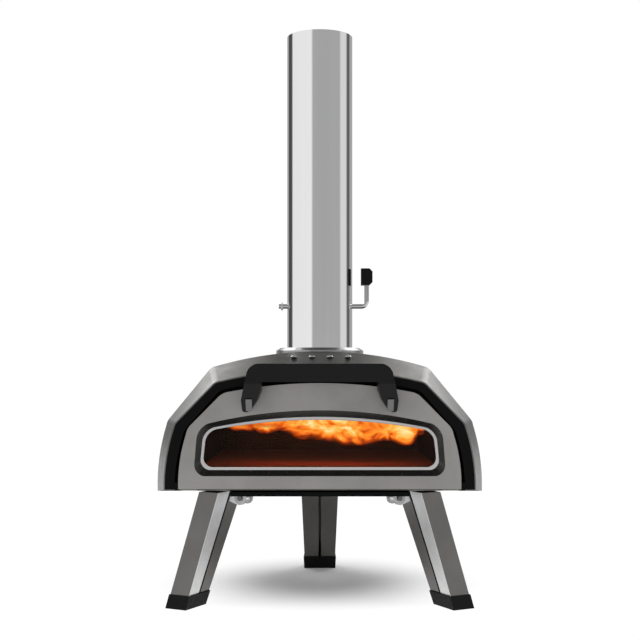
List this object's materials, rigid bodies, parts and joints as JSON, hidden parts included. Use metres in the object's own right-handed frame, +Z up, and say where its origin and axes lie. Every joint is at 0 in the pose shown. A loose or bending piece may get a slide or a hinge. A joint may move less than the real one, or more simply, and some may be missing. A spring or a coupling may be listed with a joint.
{
  "type": "wood fired pizza oven",
  "caption": "Portable wood fired pizza oven with a windowed drop-down door, tall chimney with a damper, folding legs and a rear fuel box.",
  "frame": {"origin": "on the ground under the middle of the oven's bounding box", "axes": "+Z up, the door faces -Y, +X to the right seen from behind"},
  "size_m": [0.414, 0.69, 0.753],
  "materials": {
    "grey_coat": "satin",
    "door_coat": "satin",
    "black_coat": "matte",
    "polished_steel": "polished",
    "steel": "satin",
    "glass": "clear",
    "stone": "matte",
    "ceramic_fibre": "matte",
    "cast_iron": "matte",
    "rubber": "matte",
    "black_plastic": "matte"
  },
  "bodies": {
    "oven": {"base_plate": "black_coat", "burner_runners": "black_coat", "chimney_collar": "steel", "door_hinge_left": "black_coat", "door_hinge_right": "black_coat", "fire_grate": "cast_iron", "flame_guard": "steel", "flue_duct": "steel", "front_frame": "black_coat", "fuel_box": "black_coat", "hatch_hinge": "steel", "inner_liner": "steel", "insulation_blanket": "ceramic_fibre", "leg_left_bracket": "steel", "leg_left_pin": "steel", "leg_rear_bracket": "steel", "leg_rear_pin": "steel", "leg_right_bracket": "steel", "leg_right_pin": "steel", "mouth_plate": "black_coat", "outer_shell": "grey_coat", "pizza_stone": "stone", "rear_panel": "grey_coat", "stone_rails": "steel", "threshold_plate": "grey_coat", "tray_bolts": "black_coat", "under_tray": "black_coat"},
    "door": {"door_panel": "door_coat", "window_bezel": "black_coat", "door_backing": "black_coat", "window_trim": "steel", "window_glass": "glass", "door_handle": "black_coat", "handle_straps": "steel"},
    "chimney": {"chimney_pipe": "polished_steel"},
    "damper": {"damper_rod": "steel", "damper_plate": "steel", "damper_knob": "black_plastic", "damper_clip": "steel"},
    "left_leg": {"leg_left": "grey_coat", "leg_left_knuckle": "steel", "leg_left_foot": "rubber"},
    "right_leg": {"leg_right": "grey_coat", "leg_right_knuckle": "steel", "leg_right_foot": "rubber"},
    "rear_leg": {"leg_rear": "grey_coat", "leg_rear_knuckle": "steel", "leg_rear_foot": "rubber"},
    "hatch": {"fuel_hatch": "black_coat", "hatch_handle": "black_plastic"},
    "burner": {"burner_tray": "steel", "burner_handle": "black_plastic"}
  },
  "joints": [
    {"name": "door_hinge", "type": "hinge", "parent": "oven", "child": "door", "pos_m": [0, -0.288, 0.17], "axis": [1, 0, 0], "range_deg": [0, 90]},
    {"name": "chimney_lift", "type": "slide", "parent": "oven", "child": "chimney", "axis": [0, 0, 1], "range_m": [0, 0.06]},
    {"name": "damper_turn", "type": "hinge", "parent": "chimney", "child": "damper", "pos_m": [0, -0.187, 0.398], "axis": [1, 0, 0], "range_deg": [0, 90]},
    {"name": "left_leg_fold", "type": "hinge", "parent": "oven", "child": "left_leg", "pos_m": [-0.103, -0.218, 0.1476], "axis": [-0.454, -0.891, 0], "range_deg": [0, 108]},
    {"name": "right_leg_fold", "type": "hinge", "parent": "oven", "child": "right_leg", "pos_m": [0.103, -0.218, 0.1476], "axis": [-0.454, 0.891, 0], "range_deg": [0, 80]},
    {"name": "rear_leg_fold", "type": "hinge", "parent": "oven", "child": "rear_leg", "pos_m": [0, 0.054, 0.1476], "axis": [-1, 0, 0], "range_deg": [0, 108]},
    {"name": "hatch_hinge_turn", "type": "hinge", "parent": "oven", "child": "hatch", "pos_m": [0, 0.309, 0.297], "axis": [1, 0, 0], "range_deg": [-100, 0]},
    {"name": "burner_slide", "type": "slide", "parent": "oven", "child": "burner", "axis": [0, 1, 0], "range_m": [0, 0.085]}
  ]
}
